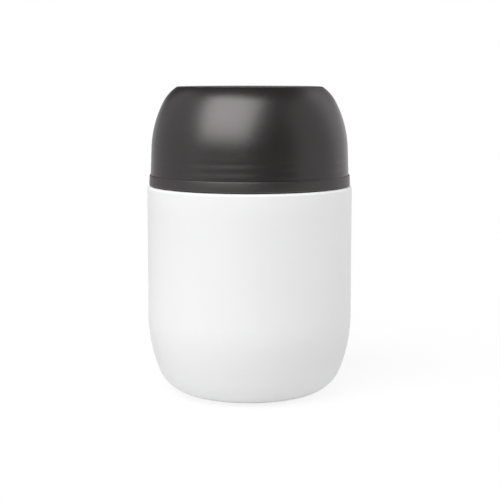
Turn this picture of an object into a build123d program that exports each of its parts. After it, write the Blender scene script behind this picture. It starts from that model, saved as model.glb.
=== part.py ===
from build123d import *

import os
from math import radians, tan

# Insulated food jar.
#
# A double-walled steel jar with a rounded base and a short threaded neck. The domed lid
# screws on the neck. Its stopper hangs from the lid on a vent stem: the first turns lift
# the lid and the stem, which opens the vent, and then the stem draws the stopper out.
#
# Millimetres. +Z is up. The origin is the centre of the foot that the jar stands on.
# Every piece is round about Z unless it says otherwise, so profiles are drawn as
# (radius, height) on the XZ plane and revolved.

# ---- Fits ---------------------------------------------------------------------------

running_gap = 0.3       # between pieces that move past each other
foam_gap = 0.2          # between an insulating block and the walls round it
stopper_slack = 0.5     # between the stopper and the mouth it slides into

# ---- Jar ----------------------------------------------------------------------------

body_radius = 45.0      # outside of the straight wall
shoulder_height = 91.3  # from the steel base up to the flat shoulder
shoulder_round = 1.2    # outside edge of the shoulder
belly_height = 34.6     # from the steel base up to where the straight wall starts
heel_height = 9.8       # where the belly arc hands over to the tighter heel arc
heel_inset = 4.73       # how far that point is in from the wall
shell_gauge = 0.6       # sheet of the outer shell
liner_gauge = 0.6       # sheet of the inner liner
wall_vacuum = 2.4       # evacuated gap between the two walls
base_vacuum = 6.0       # evacuated gap under the liner, with room for the getter
neck_vacuum = 2.0       # evacuated gap in the neck
neck_height = 16.3      # from the shoulder up to the brim
neck_root_round = 0.8   # inside corner between shoulder and neck
brim_gauge = 1.2        # folded and welded sheet of the brim
brim_round = 0.5
funnel_height = 9.0     # the liner draws in to the mouth over this height
funnel_drop = 18.0      # from the brim down to where the liner reaches the mouth's bore
foil_gauge = 0.2
foil_margin = 4.0       # bare liner left above and below the foil

# ---- Foot ---------------------------------------------------------------------------

pad_proud = 0.4         # how far the pad stands below the steel
base_flange = 4.0       # flat ring that the outer shell keeps round its opening
plate_gauge = 0.6       # sheet of the base plate
plate_lap = 2.8         # how far the plate lies over the flange
plate_dish_radius = 6.0
plate_dish_depth = 1.4
pad_gap = 0.2           # between the pad and the edge of the opening
pad_groove_count = 3
pad_groove_pitch = 4.0
pad_groove_width = 0.8
pad_groove_depth = 0.35
pump_hole_radius = 1.2  # the hole that the jar is evacuated through
seal_drop_radius = 2.8
seal_drop_height = 1.0
getter_radius = 4.0
getter_height = 2.0
strap_gauge = 0.3
strap_width = 3.0
strap_tab = 2.5

# ---- Thread -------------------------------------------------------------------------

thread_lead = 3.6       # rise in one turn
thread_depth = 1.0
thread_root_width = 2.4
thread_crest_width = 1.0
thread_round = 0.3
neck_thread_turns = 1.5
lid_thread_turns = 1.25
neck_thread_drop = 10.3  # from the brim down to the start of the neck's thread

# ---- Stopper ------------------------------------------------------------------------

gasket_height = 1.7
gasket_overhang = 3.0   # how far the gasket reaches out over the brim
flange_height = 2.4
flange_overhang = 0.2   # flange beyond the gasket
stopper_wall = 1.8
stopper_floor = 2.0
stopper_depth = 18.2    # from the brim down to the stopper's underside
stopper_round = 3.0
cover_height = 2.0
cover_rib_count = 12
cover_rib_height = 0.7
cover_rib_width = 1.2
cover_rib_margin = 3.0  # bare cover left at both ends of a rib

# ---- Vent stem ----------------------------------------------------------------------

stem_radius = 4.0
stem_play = 0.6         # free rise left when the threads have let go
collar_overhang = 1.5   # collar beyond the stem
collar_height = 2.0
collar_notch_radius = 0.9
collar_notch_count = 4
well_wall = 1.6
guide_depth = 3.0       # how far the guide reaches down into the well
guide_cap_height = 1.5
vent_radius = 2.5
vent_seal_height = 3.2
vent_seal_overhang = 1.0  # seal beyond the stem
tip_neck_radius = 1.6
tip_radius = 2.6
tip_height = 0.8
tip_cover = 0.9         # seal under the stem's tip
spigot_radius = 2.4
head_overhang = 2.0     # swivel head beyond the stem
head_height = 3.0
head_round = 0.9
head_drop = 9.0         # from the lid's top down to the top of the swivel head

# ---- Lid ----------------------------------------------------------------------------

rim_gap = 0.4           # between the lid's rim and the shoulder
lid_inset = 1.45        # how far the lid's wall is in from the jar's wall
lid_wall = 2.25
lid_draft = 2.25        # degrees that the wall leans in
dome_height = 26.6      # from where the dome starts up to the flat top
crown_inset = 5.8       # how far the end of the dome's side arc is in from the wall
crown_height = 6.6      # from the top down to that point
top_inset = 11.8        # how far the edge of the flat top is in from the wall
top_round = 1.6
band_height = 4.5
band_proud = 0.45       # band beyond the wall above it
band_sink = 0.7         # band let into the wall
band_flare = 0.2        # how much wider the band is at the rim
band_round = 0.4
band_lip = 0.3          # lip of the band that wraps under the shell's edge
liner_rim_height = 7.0
liner_rim_wall = 1.4
liner_plate = 1.8
liner_clearance = 1.2   # between the liner and the flat of the stopper
press_rib_width = 1.5
press_rib_inset = 0.7   # rib's outside, in from the edge of the stopper's flange
socket_wall = 2.0
ring_height = 2.0
ring_overhang = 1.7     # swivel ring beyond the socket's bore

# ---- Worked out from the above ------------------------------------------------------

steel_base = pad_proud
shoulder = steel_base + shoulder_height
brim = shoulder + neck_height

gasket_level = brim + running_gap
flange_level = gasket_level + gasket_height
stopper_top = flange_level + flange_height

lid_rim = shoulder + rim_gap
plate_foot = stopper_top + liner_clearance
liner_top = plate_foot + liner_plate
dome_start = liner_top - liner_rim_height
lid_top = dome_start + dome_height

lid_radius = body_radius - lid_inset
lid_bore = lid_radius - lid_wall
neck_radius = lid_bore - 2 * thread_depth - running_gap
mouth_radius = neck_radius - shell_gauge - neck_vacuum - liner_gauge
neck_thread_start = brim - neck_thread_drop
lid_thread_start = neck_thread_start + thread_lead / 2
neck_thread_end = neck_thread_start + thread_lead * neck_thread_turns
thread_travel = neck_thread_end - lid_thread_start + thread_root_width
liner_radius = body_radius - shell_gauge - wall_vacuum

# The rounded base is a belly arc that leaves the wall and a heel arc that ends on the flat.
wall_foot = Vector(body_radius, steel_base + belly_height)
heel = Vector(body_radius - heel_inset, steel_base + heel_height)


def arc_centre(start, normal, end):
    """Centre of the arc that is square to normal at start and passes through end."""
    chord = end - start
    return start + normal * (chord.dot(chord) / (2 * normal.dot(chord)))


heel_normal = (heel - arc_centre(wall_foot, Vector(1, 0), heel)).normalized()
heel_arc = heel_height / (1 + heel_normal.Y)
flat_radius = heel.X - heel_arc * heel_normal.X

base_opening = flat_radius - base_flange
plate_level = steel_base + shell_gauge
plate_radius = base_opening + plate_lap
liner_base = plate_level + base_vacuum
liner_lift = liner_base - steel_base - shell_gauge - wall_vacuum


def rounded_base(inset, lift=0.0):
    """Draw the rounded base from wall to flat, moved in by inset and then up by lift."""
    wall_end = (wall_foot.X - inset, wall_foot.Y + lift)
    joint = heel - heel_normal * inset + Vector(0, lift)
    belly = TangentArc(wall_end, joint, tangent=(0, -1))
    TangentArc(joint, (flat_radius, steel_base + inset + lift), tangent=belly % 1)


def thread_ridge(root_radius, start_height, turns, side):
    """A helical ridge on a round wall, standing out of it (side 1) or into it (side -1)."""
    rooting = shell_gauge / 2
    path = Helix(
        pitch=thread_lead,
        height=thread_lead * turns,
        radius=root_radius - side * rooting,
        center=(0, 0, start_height),
        mode=Mode.PRIVATE,
    )
    section_plane = Plane(origin=path @ 0, x_dir=(side, 0, 0), z_dir=path % 0)
    crest = rooting + thread_depth
    with BuildPart() as ridge:
        with BuildSketch(section_plane) as section:
            with BuildLine():
                Polyline(
                    (0, -thread_root_width / 2),
                    (crest, -thread_crest_width / 2),
                    (crest, thread_crest_width / 2),
                    (0, thread_root_width / 2),
                    close=True,
                )
            make_face()
            crest_corners = section.vertices().sort_by(Axis.X, reverse=side > 0)[:2]
            fillet(crest_corners, thread_round)
        sweep(path=path, is_frenet=True)
    return ridge.part


def finish(piece, name):
    """Label a finished piece and write its STEP file."""
    piece.part.label = name
    export_step(piece.part, f"parts/{name}.step")


os.makedirs("parts", exist_ok=True)

# ---- Outer shell: drawn steel sheet, open at the base, with a threaded neck -----------


def shell_skin(inset):
    """One skin of the outer shell's sheet, from the base opening to the top of the neck."""
    rounded_base(inset)
    flat = steel_base + inset
    Line((flat_radius, flat), (base_opening, flat))
    FilletPolyline(
        (body_radius - inset, wall_foot.Y),
        (body_radius - inset, shoulder - inset),
        (neck_radius - inset, shoulder - inset),
        (neck_radius - inset, brim - brim_gauge),
        radius=[shoulder_round - inset, neck_root_round + inset],
    )


with BuildPart() as outer_shell:
    with BuildSketch(Plane.XZ):
        with BuildLine():
            shell_skin(0)
            shell_skin(shell_gauge)
            Line((base_opening, steel_base), (base_opening, plate_level))
            Line(
                (neck_radius - shell_gauge, brim - brim_gauge),
                (neck_radius, brim - brim_gauge),
            )
        make_face()
    revolve(axis=Axis.Z)
    add(thread_ridge(neck_radius, neck_thread_start, neck_thread_turns, side=1))
finish(outer_shell, "outer_shell")

# ---- Inner liner: deep drawn, drawn in to the mouth and folded out to the brim --------

liner_wall_top = brim - funnel_drop - funnel_height
funnel_bottom = Vector(liner_radius, liner_wall_top)
funnel_top = Vector(mouth_radius + liner_gauge, liner_wall_top + funnel_height)
funnel_middle = (funnel_bottom + funnel_top) / 2
funnel_normal = (
    funnel_middle - arc_centre(funnel_bottom, Vector(1, 0), funnel_middle)
).normalized()


def liner_skin(inset, top):
    """One skin of the liner's sheet, from the axis up to the mouth."""
    rounded_base(shell_gauge + wall_vacuum + inset, liner_lift)
    Line((0, liner_base + inset), (flat_radius, liner_base + inset))
    wall_top = (funnel_bottom.X - inset, funnel_bottom.Y)
    Line((funnel_bottom.X - inset, wall_foot.Y + liner_lift), wall_top)
    lower = TangentArc(wall_top, funnel_middle - funnel_normal * inset, tangent=(0, 1))
    upper = TangentArc(lower @ 1, (funnel_top.X - inset, funnel_top.Y), tangent=lower % 1)
    Line(upper @ 1, (funnel_top.X - inset, top))


with BuildPart() as inner_liner:
    with BuildSketch(Plane.XZ):
        with BuildLine():
            liner_skin(0, brim - brim_gauge)
            liner_skin(liner_gauge, brim)
            Line((0, liner_base), (0, liner_base + liner_gauge))
            Polyline(
                (mouth_radius + liner_gauge, brim - brim_gauge),
                (neck_radius, brim - brim_gauge),
                (neck_radius, brim),
                (mouth_radius, brim),
            )
        make_face()
    revolve(axis=Axis.Z)
    fillet(inner_liner.edges().group_by(Axis.Z)[-1], brim_round)
finish(inner_liner, "inner_liner")

# ---- Foil shield: aluminium foil wrapped round the liner inside the vacuum -------------

with BuildPart() as foil_shield:
    foil_bottom = wall_foot.Y + liner_lift + foil_margin
    foil_top = liner_wall_top - foil_margin
    with BuildSketch(Plane.XY.offset(foil_bottom)):
        Circle(liner_radius + foil_gauge)
        Circle(liner_radius, mode=Mode.SUBTRACT)
    extrude(amount=foil_top - foil_bottom)
finish(foil_shield, "foil_shield")

# ---- Base plate: dished disc lapped over the flange of the outer shell -----------------

dish_level = plate_level + plate_dish_depth
dish_foot = plate_dish_radius + plate_dish_depth

with BuildPart() as base_plate:
    with BuildSketch(Plane.XZ):
        with BuildLine():
            Polyline(
                (pump_hole_radius, dish_level),
                (plate_dish_radius, dish_level),
                (dish_foot, plate_level),
                (plate_radius, plate_level),
                (plate_radius, plate_level + plate_gauge),
                (dish_foot, plate_level + plate_gauge),
                (plate_dish_radius, dish_level + plate_gauge),
                (pump_hole_radius, dish_level + plate_gauge),
                close=True,
            )
        make_face()
    revolve(axis=Axis.Z)
finish(base_plate, "base_plate")

# ---- Vacuum seal: drop of solder glass that closes the pump hole from below ------------

with BuildPart() as vacuum_seal:
    with BuildSketch(Plane.XZ):
        with BuildLine():
            drop_edge = (seal_drop_radius, dish_level)
            Line((0, dish_level - seal_drop_height), (0, dish_level + plate_gauge))
            Line((0, dish_level + plate_gauge), (pump_hole_radius, dish_level + plate_gauge))
            Line((pump_hole_radius, dish_level + plate_gauge), (pump_hole_radius, dish_level))
            Line((pump_hole_radius, dish_level), drop_edge)
            TangentArc((0, dish_level - seal_drop_height), drop_edge, tangent=(1, 0))
        make_face()
    revolve(axis=Axis.Z)
finish(vacuum_seal, "vacuum_seal")

# ---- Getter and the strap that is spot welded over it ----------------------------------

getter_seat = plate_level + plate_gauge
getter_offset = (dish_foot + plate_radius) / 2

with BuildPart() as getter:
    with BuildSketch(Plane.XY.offset(getter_seat)):
        with Locations((getter_offset, 0)):
            Circle(getter_radius)
    extrude(amount=getter_height)
finish(getter, "getter")

with BuildPart() as getter_strap:
    with BuildSketch(Plane.YZ.offset(getter_offset)):
        with BuildLine():
            tab_end = getter_radius + strap_gauge + strap_tab
            Polyline(
                (-tab_end, getter_seat),
                (-getter_radius, getter_seat),
                (-getter_radius, getter_seat + getter_height),
                (getter_radius, getter_seat + getter_height),
                (getter_radius, getter_seat),
                (tab_end, getter_seat),
                (tab_end, getter_seat + strap_gauge),
                (getter_radius + strap_gauge, getter_seat + strap_gauge),
                (getter_radius + strap_gauge, getter_seat + getter_height + strap_gauge),
                (-getter_radius - strap_gauge, getter_seat + getter_height + strap_gauge),
                (-getter_radius - strap_gauge, getter_seat + strap_gauge),
                (-tab_end, getter_seat + strap_gauge),
                close=True,
            )
        make_face()
    extrude(amount=strap_width / 2, both=True)
finish(getter_strap, "getter_strap")

# ---- Base pad: soft disc in the base opening, what the jar stands on -------------------

pad_radius = base_opening - pad_gap

with BuildPart() as base_pad:
    with BuildSketch():
        Circle(pad_radius)
    extrude(amount=plate_level)
    with BuildSketch():
        for groove in range(pad_groove_count):
            groove_outside = pad_radius - pad_groove_pitch * (groove + 1)
            Circle(groove_outside)
            Circle(groove_outside - pad_groove_width, mode=Mode.SUBTRACT)
    extrude(amount=pad_groove_depth, mode=Mode.SUBTRACT)
finish(base_pad, "base_pad")

# ---- Stopper: a hollow moulded plug with a flange, closed by a welded cover ------------

stopper_base = brim - stopper_depth
stopper_radius = mouth_radius - stopper_slack
gasket_radius = stopper_radius + gasket_overhang
flange_radius = gasket_radius + flange_overhang
well_radius = stem_radius + collar_overhang + running_gap
well_outside = well_radius + well_wall
well_floor = stopper_base + stopper_floor
cover_level = stopper_top - cover_height
cover_radius = stopper_radius - stopper_wall
cover_rim = cover_radius + stopper_wall / 2

with BuildPart() as stopper_cup:
    with BuildSketch(Plane.XZ):
        with BuildLine():
            FilletPolyline(
                (vent_radius, stopper_base),
                (stopper_radius, stopper_base),
                (stopper_radius, flange_level),
                radius=stopper_round,
            )
            Polyline(
                (stopper_radius, flange_level),
                (flange_radius, flange_level),
                (flange_radius, stopper_top),
                (cover_rim, stopper_top),
                (cover_rim, cover_level),
                (cover_radius, cover_level),
            )
            FilletPolyline(
                (cover_radius, cover_level),
                (cover_radius, well_floor),
                (well_outside, well_floor),
                radius=stopper_round - stopper_wall,
            )
            Polyline(
                (well_outside, well_floor),
                (well_outside, stopper_top),
                (well_radius, stopper_top),
                (well_radius, well_floor),
                (vent_radius, well_floor),
                (vent_radius, stopper_base),
            )
        make_face()
    revolve(axis=Axis.Z)
finish(stopper_cup, "stopper_cup")

with BuildPart() as stopper_cover:
    with BuildSketch(Plane.XY.offset(cover_level)):
        Circle(cover_rim)
        Circle(well_outside, mode=Mode.SUBTRACT)
    extrude(amount=cover_height)
    with BuildSketch(Plane.XY.offset(stopper_top)):
        rib_start = well_outside + cover_rib_margin
        rib_length = cover_radius - cover_rib_margin - rib_start
        with PolarLocations(rib_start + rib_length / 2, cover_rib_count):
            SlotOverall(rib_length, cover_rib_width)
    extrude(amount=cover_rib_height)
finish(stopper_cover, "stopper_cover")

with BuildPart() as stopper_foam:
    with BuildSketch(Plane.XY.offset(well_floor + foam_gap)):
        Circle(cover_radius - foam_gap)
        Circle(well_outside + foam_gap, mode=Mode.SUBTRACT)
    extrude(amount=cover_level - well_floor - 2 * foam_gap)
    foam_corner = stopper_foam.edges().group_by(Axis.Z)[0].sort_by(SortBy.RADIUS)[-1]
    fillet(foam_corner, stopper_round - stopper_wall)
finish(stopper_foam, "stopper_foam")

# ---- Stopper gasket: soft ring under the flange that seals on the brim -----------------

with BuildPart() as stopper_gasket:
    with BuildSketch(Plane.XY.offset(gasket_level)):
        Circle(gasket_radius)
        Circle(stopper_radius, mode=Mode.SUBTRACT)
    extrude(amount=gasket_height)
    gasket_corner = stopper_gasket.edges().group_by(Axis.Z)[0].sort_by(SortBy.RADIUS)[-1]
    fillet(gasket_corner, gasket_height / 3)
finish(stopper_gasket, "stopper_gasket")

# ---- Valve guide: cap pressed into the well, which steers the stem and stops its collar -

guide_bore = stem_radius + running_gap
guide_foot = stopper_top - guide_depth
guide_top = stopper_top + guide_cap_height

with BuildPart() as valve_guide:
    with BuildSketch(Plane.XZ):
        with BuildLine():
            Polyline(
                (guide_bore, guide_foot),
                (well_radius, guide_foot),
                (well_radius, stopper_top),
                (well_outside, stopper_top),
                (well_outside, guide_top),
                (guide_bore, guide_top),
                close=True,
            )
        make_face()
    revolve(axis=Axis.Z)
    cap_corner = valve_guide.edges().group_by(Axis.Z)[-1].sort_by(SortBy.RADIUS)[-1]
    fillet(cap_corner, guide_cap_height / 3)
    with BuildSketch(Plane.XY.offset(guide_foot)):
        with PolarLocations(guide_bore, collar_notch_count):
            Circle(collar_notch_radius)
    extrude(amount=guide_top - guide_foot, mode=Mode.SUBTRACT)
finish(valve_guide, "valve_guide")

# ---- Vent stem: its collar lifts the stopper, and its tip carries the vent seal --------

seal_foot = well_floor + running_gap
tip_foot = seal_foot + tip_cover
seal_top = seal_foot + vent_seal_height
collar_top = guide_foot - thread_travel - stem_play
head_top = lid_top - head_drop
head_foot = head_top - head_height

with BuildPart() as vent_stem:
    with BuildSketch(Plane.XZ):
        with BuildLine():
            Polyline(
                (0, tip_foot),
                (tip_radius, tip_foot),
                (tip_radius, tip_foot + tip_height),
                (tip_neck_radius, tip_foot + tip_height),
                (tip_neck_radius, seal_top),
                (stem_radius, seal_top),
                (stem_radius, collar_top - collar_height),
                (stem_radius + collar_overhang, collar_top - collar_height),
                (stem_radius + collar_overhang, collar_top),
                (stem_radius, collar_top),
                (stem_radius, head_foot),
                (spigot_radius, head_foot),
                (spigot_radius, head_top),
                (0, head_top),
                close=True,
            )
        make_face()
    revolve(axis=Axis.Z)
    with BuildSketch(Plane.XY.offset(collar_top - collar_height)):
        with PolarLocations(stem_radius + collar_overhang, collar_notch_count):
            Circle(collar_notch_radius)
    extrude(amount=collar_height, mode=Mode.SUBTRACT)
finish(vent_stem, "vent_stem")

with BuildPart() as vent_seal:
    seal_radius = stem_radius + vent_seal_overhang
    with BuildSketch(Plane.XY.offset(seal_foot)):
        Circle(seal_radius)
    extrude(amount=vent_seal_height)
    fillet(vent_seal.edges().group_by(Axis.Z)[0], tip_cover / 2)
    add(vent_stem.part, mode=Mode.SUBTRACT)
finish(vent_seal, "vent_seal")

with BuildPart() as swivel_head:
    head_radius = stem_radius + head_overhang
    with BuildSketch(Plane.XY.offset(head_foot)):
        Circle(head_radius)
        Circle(spigot_radius, mode=Mode.SUBTRACT)
    extrude(amount=head_height)
    head_corner = swivel_head.edges().group_by(Axis.Z)[-1].sort_by(SortBy.RADIUS)[-1]
    fillet(head_corner, head_round)
finish(swivel_head, "swivel_head")

# ---- Lid shell: drafted wall, domed side, flat top, threaded inside ---------------------

band_top = lid_rim + band_height
shell_edge = lid_rim + band_lip
draft_slope = tan(radians(lid_draft))
draft_normal = Vector(1, draft_slope).normalized()
band_seat = lid_radius - band_sink

dome_foot = Vector(lid_radius - (dome_start - band_top) * draft_slope, dome_start)
crown = Vector(lid_radius - crown_inset, lid_top - crown_height)
top_edge = Vector(lid_radius - top_inset, lid_top)
crown_normal = (crown - arc_centre(dome_foot, draft_normal, crown)).normalized()
crown_centre = arc_centre(crown, crown_normal, top_edge)
crown_arc = (crown - crown_centre).length

liner_seat = (dome_foot - draft_normal * lid_wall).X


def dome(inset):
    """Draw the dome's side arc, crown arc and flat top, all moved in by inset."""
    side = TangentArc(
        dome_foot - draft_normal * inset,
        crown - crown_normal * inset,
        tangent=(-draft_normal.Y, draft_normal.X),
    )
    flat_level = lid_top - inset
    rise = flat_level - crown_centre.Y
    flat_edge = crown_centre.X + ((crown_arc - inset) ** 2 - rise**2) ** 0.5
    over = TangentArc(side @ 1, (flat_edge, flat_level), tangent=side % 1)
    Polyline(over @ 1, (0, flat_level), (0, dome_start))


with BuildPart() as lid_shell:
    with BuildSketch(Plane.XZ):
        with BuildLine():
            dome(0)
            Polyline(
                dome_foot,
                (lid_radius, band_top),
                (band_seat, band_top),
                (band_seat, shell_edge),
                (0, shell_edge),
                (0, dome_start),
            )
        make_face()
    revolve(axis=Axis.Z)
    fillet(lid_shell.edges().group_by(Axis.Z)[-1], top_round)
    with BuildSketch(Plane.XZ):
        with BuildLine():
            dome(lid_wall)
            Line((0, dome_start), dome_foot - draft_normal * lid_wall)
        make_face()
    revolve(axis=Axis.Z, mode=Mode.SUBTRACT)
    with BuildSketch(Plane.XY.offset(dome_start)):
        Circle(liner_seat)
    extrude(amount=liner_rim_height, mode=Mode.SUBTRACT)
    with BuildSketch(Plane.XY.offset(shell_edge)):
        Circle(lid_bore)
    extrude(amount=dome_start - shell_edge, mode=Mode.SUBTRACT)
    add(thread_ridge(lid_bore, lid_thread_start, lid_thread_turns, side=-1))
finish(lid_shell, "lid_shell")

# ---- Lid band: trim ring let into the wall at the rim, with a lip under its edge --------

with BuildPart() as lid_band:
    with BuildSketch(Plane.XZ):
        with BuildLine():
            Polyline(
                (lid_bore, lid_rim),
                (lid_radius + band_proud + band_flare, lid_rim),
                (lid_radius + band_proud, band_top),
                (band_seat, band_top),
                (band_seat, shell_edge),
                (lid_bore, shell_edge),
                close=True,
            )
        make_face()
    revolve(axis=Axis.Z)
    for level in (0, -1):
        band_corner = lid_band.edges().group_by(Axis.Z)[level].sort_by(SortBy.RADIUS)[-1]
        fillet(band_corner, band_round)
finish(lid_band, "lid_band")

# ---- Lid liner: inner dish welded into the dome, with a socket for the swivel head ------

socket_bore = head_radius + running_gap
socket_ceiling = head_top + running_gap
ring_top = head_foot - running_gap
ring_radius = socket_bore + ring_overhang
socket_radius = ring_radius + socket_wall
socket_top = socket_ceiling + socket_wall
rib_foot = stopper_top + running_gap
rib_outside = flange_radius - press_rib_inset
rib_inside = rib_outside - press_rib_width
rim_inside = liner_seat - liner_rim_wall

with BuildPart() as lid_liner:
    with BuildSketch(Plane.XZ):
        with BuildLine():
            Polyline(
                (0, socket_top),
                (socket_radius, socket_top),
                (socket_radius, liner_top),
                (liner_seat, liner_top),
                (liner_seat, dome_start),
                (rim_inside, dome_start),
                (rim_inside, plate_foot),
                (rib_outside, plate_foot),
                (rib_outside, rib_foot),
                (rib_inside, rib_foot),
                (rib_inside, plate_foot),
                (ring_radius, plate_foot),
                (ring_radius, ring_top),
                (socket_bore, ring_top),
                (socket_bore, socket_ceiling),
                (0, socket_ceiling),
                close=True,
            )
        make_face()
    revolve(axis=Axis.Z)
finish(lid_liner, "lid_liner")

# ---- Swivel ring: pressed into the socket under the swivel head -------------------------

with BuildPart() as swivel_ring:
    with BuildSketch(Plane.XY.offset(ring_top - ring_height)):
        Circle(ring_radius)
        Circle(stem_radius + running_gap, mode=Mode.SUBTRACT)
    extrude(amount=ring_height)
finish(swivel_ring, "swivel_ring")

# ---- Lid foam: insulating block between the liner and the dome --------------------------

with BuildPart() as lid_foam:
    with BuildSketch(Plane.XZ):
        with BuildLine():
            dome(lid_wall + foam_gap)
            Line((0, dome_start), dome_foot - draft_normal * (lid_wall + foam_gap))
        make_face()
    revolve(axis=Axis.Z)
    with BuildSketch(Plane.XY.offset(lid_rim)):
        Circle(liner_seat)
    extrude(amount=liner_top + foam_gap - lid_rim, mode=Mode.SUBTRACT)
    with BuildSketch(Plane.XY.offset(liner_top)):
        Circle(socket_radius + foam_gap)
    extrude(amount=socket_top + foam_gap - liner_top, mode=Mode.SUBTRACT)
finish(lid_foam, "lid_foam")
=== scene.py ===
"""Dresses the insulated food jar: models what shows, finishes every piece and sets the studio."""

import math

import bpy
from bpy.props import FloatProperty, FloatVectorProperty, IntProperty, PointerProperty
from mathutils import Euler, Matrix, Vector


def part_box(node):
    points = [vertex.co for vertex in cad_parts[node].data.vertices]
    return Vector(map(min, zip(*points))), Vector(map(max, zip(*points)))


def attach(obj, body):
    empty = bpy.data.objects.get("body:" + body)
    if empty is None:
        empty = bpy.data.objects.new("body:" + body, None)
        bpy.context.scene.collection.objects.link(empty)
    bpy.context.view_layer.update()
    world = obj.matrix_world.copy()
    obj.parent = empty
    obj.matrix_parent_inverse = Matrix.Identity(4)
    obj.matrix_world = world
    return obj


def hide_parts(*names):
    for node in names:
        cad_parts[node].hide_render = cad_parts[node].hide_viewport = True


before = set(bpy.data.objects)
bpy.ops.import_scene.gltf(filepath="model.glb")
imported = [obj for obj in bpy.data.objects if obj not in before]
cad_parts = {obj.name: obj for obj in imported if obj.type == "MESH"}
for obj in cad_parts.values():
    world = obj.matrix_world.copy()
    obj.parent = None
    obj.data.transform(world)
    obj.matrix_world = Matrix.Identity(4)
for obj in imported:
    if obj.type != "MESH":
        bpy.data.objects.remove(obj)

bl_info = {
    "name": "Insulated food jar",
    "version": (1, 0, 0),
    "blender": (4, 5, 0),
    "location": "3D View > Sidebar > Jar",
    "description": "Models and finishes an insulated food jar with a domed screw lid",
    "category": "Object",
}

MM = 0.001
UP = Vector((0, 1))
DOWN = Vector((0, -1))
OUT = Vector((1, 0))
WELD = 0.002 * MM  # points of a turned piece that are closer than this are one
CLOSE = 0.05 * MM  # how near a point has to be to a place to be picked there


def foot(node):
    """Height of a CAD node's lowest point."""
    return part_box(node)[0].z


def top(node):
    """Height of a CAD node's highest point."""
    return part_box(node)[1].z


def reach(node):
    """Radius of a CAD node that is round about the jar's axis."""
    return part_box(node)[1].y


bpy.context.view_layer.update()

# ---- Settings -------------------------------------------------------------------------


def length(name, description, millimetres):
    """A size that a user may change, given in millimetres and kept in metres."""
    return FloatProperty(
        name=name, description=description, default=millimetres * MM, unit="LENGTH", precision=5
    )


def turns(name, description, value):
    """A number of turns that a user may change."""
    return FloatProperty(name=name, description=description, default=value, min=0.25)


def tint(name, description, *channels):
    """A colour that a user may change."""
    return FloatVectorProperty(
        name=name, description=description, default=channels, subtype="COLOR", min=0, max=1
    )


def share(name, description, value):
    """A number from 0 to 1 that a user may change."""
    return FloatProperty(
        name=name, description=description, default=value, subtype="FACTOR", min=0, max=1
    )


class JarShape(bpy.types.PropertyGroup):
    """Sizes of the pieces modelled here that the frame's boxes don't give."""

    sides: IntProperty(name="Sides", description="Faces round a turned piece", default=180, min=24)
    shell_gauge: length("Shell gauge", "Sheet of the body shell and of the liner", 0.6)
    shoulder_height: length("Shoulder", "From the steel base up to the shoulder", 91.3)
    shoulder_round: length("Shoulder rounding", "Outside edge of the shoulder", 1.2)
    root_round: length("Neck rounding", "Inside corner between shoulder and neck", 0.8)
    neck_radius: length("Neck radius", "Outside of the neck", 39.0)
    belly_height: length("Belly height", "From the steel base to where the wall starts", 34.6)
    heel_height: length("Heel height", "Where the belly arc meets the heel arc", 9.8)
    heel_inset: length("Heel inset", "How far that point is in from the wall", 4.73)
    base_flange: length("Base flange", "Flat ring round the base opening", 4.0)
    mouth_radius: length("Mouth radius", "Inside of the liner's neck", 35.8)
    funnel_drop: length("Funnel drop", "From the brim down to where the liner's neck starts", 18.0)
    funnel_height: length("Funnel height", "Over which the liner draws in to its neck", 9.0)
    brim_gauge: length("Brim gauge", "Folded sheet of the brim", 1.2)
    brim_round: length("Brim rounding", "Upper edges of the brim", 0.5)
    lid_wall: length("Lid wall", "Thickness of the moulded lid", 2.25)
    lid_draft: FloatProperty(
        name="Lid draft",
        description="How far the lid's wall leans in",
        default=math.radians(2.25),
        subtype="ANGLE",
        unit="ROTATION",
    )
    crown_inset: length("Crown inset", "End of the dome's side, in from the wall", 5.8)
    crown_height: length("Crown height", "From the top down to that point", 6.6)
    top_inset: length("Top inset", "Edge of the flat top, in from the wall", 11.8)
    top_round: length("Top rounding", "Edge between the dome and the flat top", 1.6)
    sink_depth: length("Sink depth", "Depth of the marks that the thread leaves outside", 0.05)
    sink_turns: IntProperty(name="Sink turns", description="Turns of those marks", default=3)
    band_sink: length("Band sink", "How deep the band is let into the wall", 0.7)
    band_flare: length("Band flare", "How much wider the band is at the rim", 0.2)
    band_round: length("Band rounding", "Outside edges of the band", 0.4)
    band_edge: length("Band edge", "Rounding of the band's inside edges", 0.08)
    thread_lead: length("Thread lead", "Rise in one turn", 3.6)
    thread_depth: length("Thread depth", "From the wall to the crest", 1.0)
    thread_root: length("Thread root", "Width of the ridge at the wall", 2.4)
    thread_crest: length("Thread crest", "Width of the ridge at its crest", 1.0)
    thread_round: length("Thread rounding", "Corners of the crest", 0.3)
    thread_fade: length("Thread fade", "Over which a thread fades in at its ends", 9.0)
    neck_thread_start: length("Neck thread", "Height of the start of the neck's thread", 97.7)
    neck_thread_turns: turns("Neck thread turns", "Length of the neck's thread", 1.5)
    lid_thread_start: length("Lid thread", "Height of the start of the lid's thread", 99.5)
    lid_thread_turns: turns("Lid thread turns", "Length of the lid's thread", 1.25)
    gasket_width: length("Gasket width", "Across the ring that seals on the brim", 3.0)
    gasket_bead: length("Gasket bead", "Height of the two beads under that ring", 0.3)
    gasket_edge: length("Gasket edge", "Rounding of that ring's edges", 0.1)
    groove_pitch: length("Groove pitch", "Between the grooves of the foot pad", 4.0)
    groove_width: length("Groove width", "Width of a groove of the foot pad", 0.8)
    groove_depth: length("Groove depth", "Depth of a groove of the foot pad", 0.35)
    grooves: IntProperty(name="Grooves", description="Grooves of the foot pad", default=3)
    pad_edge: length("Pad edge", "Rounding of the foot pad's edges", 0.15)


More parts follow.
